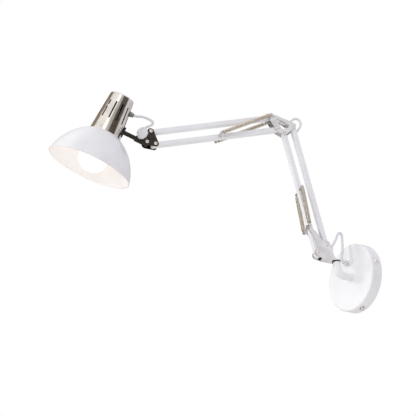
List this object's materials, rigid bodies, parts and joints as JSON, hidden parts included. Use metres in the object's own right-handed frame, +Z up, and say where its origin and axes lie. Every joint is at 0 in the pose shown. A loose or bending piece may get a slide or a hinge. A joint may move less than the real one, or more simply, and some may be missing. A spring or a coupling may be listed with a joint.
{
  "type": "swing arm wall lamp",
  "caption": "Wall lamp with a round cover, a two-part parallelogram arm held by coil springs, and a dome shade on a slotted metal neck.",
  "frame": {"origin": "centre of the wall plate's back face, on the wall", "axes": "+Y into the wall, +Z up, -Y out into the room, +X to the right of someone facing the wall"},
  "size_m": [0.3055, 0.5632, 0.4638],
  "materials": {
    "black_nickel": "black nickel plated",
    "black_plastic": "matte",
    "brass_fitting": "plain",
    "bright_nickel": "bright nickel plated",
    "clear_plastic": "translucent white",
    "grey_plastic": "matte",
    "opal_glass": "opal, lit warm",
    "satin_nickel": "satin nickel plated",
    "spring_steel": "oiled spring steel",
    "white_paint": "semi-gloss white powder coat",
    "white_plastic": "smooth",
    "white_pvc": "smooth cable sheath",
    "zinc_steel": "zinc plated"
  },
  "bodies": {
    "base": {"wall_plate": "zinc_steel", "base_cover": "white_paint", "cover_screws": "bright_nickel", "socket_post": "white_paint", "socket_nut": "zinc_steel", "wall_gland": "grey_plastic", "terminal_block": "grey_plastic", "terminal_screws": "brass_fitting", "swivel_washer": "black_plastic", "cable_wall_side": "white_pvc"},
    "shoulder": {"shoulder_bracket": "satin_nickel", "swivel_pin": "zinc_steel", "shoulder_bolt": "bright_nickel", "shoulder_nut": "bright_nickel", "shoulder_studs": "bright_nickel", "lower_spring_studs": "satin_nickel", "cable_shoulder_side": "white_pvc"},
    "lower_front_arm": {"lower_front_tube": "white_paint", "lower_front_plugs": "white_plastic", "lower_spring_pin": "satin_nickel"},
    "lower_rear_arm": {"lower_rear_tube": "white_paint", "lower_rear_plugs": "white_plastic", "cable_lower_run": "white_pvc", "cable_elbow_rear": "white_pvc"},
    "lower_spring_bottom": {"lower_spring_stud_half": "spring_steel"},
    "lower_spring_top": {"lower_spring_pin_half": "spring_steel"},
    "elbow": {"elbow_front_plate": "satin_nickel", "elbow_rear_plate": "satin_nickel", "elbow_bolts": "bright_nickel", "elbow_nuts": "bright_nickel", "upper_spring_studs": "satin_nickel", "elbow_spacer": "satin_nickel", "cable_elbow_front": "white_pvc"},
    "upper_bottom_arm": {"upper_bottom_tube": "white_paint", "upper_bottom_plugs": "white_plastic", "upper_spring_pin": "satin_nickel", "upper_spring_pin_half": "spring_steel"},
    "upper_top_arm": {"upper_top_tube": "white_paint", "upper_top_bushes": "white_plastic", "cable_upper_run": "white_pvc"},
    "upper_spring_rear": {"upper_spring_stud_half": "spring_steel"},
    "head_link": {"head_bracket": "black_nickel", "head_bolts": "bright_nickel", "head_nuts": "bright_nickel", "cable_bracket_side": "white_pvc"},
    "clamp": {"clamp_sleeve": "black_nickel", "cable_clamp_side": "white_pvc"},
    "knob": {"clamp_knob": "clear_plastic"},
    "head": {"neck": "bright_nickel", "shade": "white_paint", "lamp_holder": "black_plastic", "bulb_globe": "opal_glass", "bulb_cap": "bright_nickel", "head_rod": "black_nickel", "rod_flange": "black_nickel", "rod_nut": "zinc_steel", "head_gland": "grey_plastic", "neck_screws": "bright_nickel", "cable_head_side": "white_pvc"}
  },
  "joints": [
    {"name": "swing", "type": "hinge", "parent": "base", "child": "shoulder", "pos_m": [0, -0.0513, 0.0279], "axis": [0, 0, 1], "range_deg": [-59, 91], "deforming": ["cable_wall_side"]},
    {"name": "lower_arm", "type": "hinge", "parent": "shoulder", "child": "lower_rear_arm", "pos_m": [-0.004, -0.06544, 0.0639], "axis": [-0.9622, 0.2723, 0], "range_deg": [-50, 10], "deforming": ["cable_shoulder_side"]},
    {"name": "lower_front_pivot", "type": "hinge", "parent": "shoulder", "child": "lower_front_arm", "pos_m": [-0.01013, -0.08709, 0.0458], "axis": [-0.9622, 0.2723, 0], "range_deg": [-50, 10]},
    {"name": "lower_spring_swing", "type": "hinge", "parent": "shoulder", "child": "lower_spring_bottom", "pos_m": [-0.01252, -0.09556, 0.1037], "axis": [-0.9622, 0.2723, 0], "range_deg": [-76, 16], "deforming": ["lower_spring_stud_half"]},
    {"name": "lower_spring_turn", "type": "hinge", "parent": "lower_front_arm", "child": "lower_spring_top", "pos_m": [-0.01181, -0.09303, 0.19307], "axis": [-0.9622, 0.2723, 0], "range_deg": [-26, 6], "deforming": ["lower_spring_pin_half"]},
    {"name": "elbow_level", "type": "hinge", "parent": "lower_rear_arm", "child": "elbow", "pos_m": [-0.00723, -0.07685, 0.34665], "axis": [-0.9622, 0.2723, 0], "range_deg": [-10, 50], "deforming": ["cable_elbow_rear"]},
    {"name": "upper_arm", "type": "hinge", "parent": "elbow", "child": "upper_top_arm", "pos_m": [-0.01839, -0.1163, 0.36605], "axis": [-0.9622, 0.2723, 0], "range_deg": [-30, 35], "deforming": ["cable_elbow_front"]},
    {"name": "upper_bottom_pivot", "type": "hinge", "parent": "elbow", "child": "upper_bottom_arm", "pos_m": [-0.01703, -0.11149, 0.33715], "axis": [-0.9622, 0.2723, 0], "range_deg": [-30, 35], "deforming": ["upper_spring_pin_half"]},
    {"name": "upper_spring_swing", "type": "hinge", "parent": "elbow", "child": "upper_spring_rear", "pos_m": [-0.0203, -0.12303, 0.36385], "axis": [-0.9622, 0.2723, 0], "range_deg": [-30, 35], "deforming": ["upper_spring_stud_half"]},
    {"name": "head_level", "type": "hinge", "parent": "upper_top_arm", "child": "head_link", "pos_m": [-0.09143, -0.37442, 0.31536], "axis": [-0.9622, 0.2723, 0], "range_deg": [-35, 30], "deforming": ["cable_bracket_side"]},
    {"name": "tilt", "type": "hinge", "parent": "head_link", "child": "clamp", "pos_m": [-0.09465, -0.38577, 0.28996], "axis": [-0.9622, 0.2723, 0], "range_deg": [-60, 36], "deforming": ["cable_clamp_side"]},
    {"name": "swivel", "type": "hinge", "parent": "clamp", "child": "head", "pos_m": [-0.09465, -0.38577, 0.28996], "axis": [0.2381, 0.8416, -0.4848], "range_deg": [-84, 36], "deforming": ["cable_head_side"]},
    {"name": "knob_turn", "type": "hinge", "parent": "clamp", "child": "knob", "pos_m": [-0.09846, -0.39924, 0.29772], "axis": [0.9622, -0.2723, 0], "continuous": true}
  ],
  "couplings": [
    {"joint": "lower_front_pivot", "follows": "lower_arm", "ratio": 1},
    {"joint": "lower_spring_swing", "follows": "lower_arm", "ratio": 1.5},
    {"joint": "lower_spring_turn", "follows": "lower_arm", "ratio": 0.5},
    {"joint": "elbow_level", "follows": "lower_arm", "ratio": -1},
    {"joint": "upper_bottom_pivot", "follows": "upper_arm", "ratio": 1},
    {"joint": "upper_spring_swing", "follows": "upper_arm", "ratio": 1},
    {"joint": "head_level", "follows": "upper_arm", "ratio": -1}
  ]
}
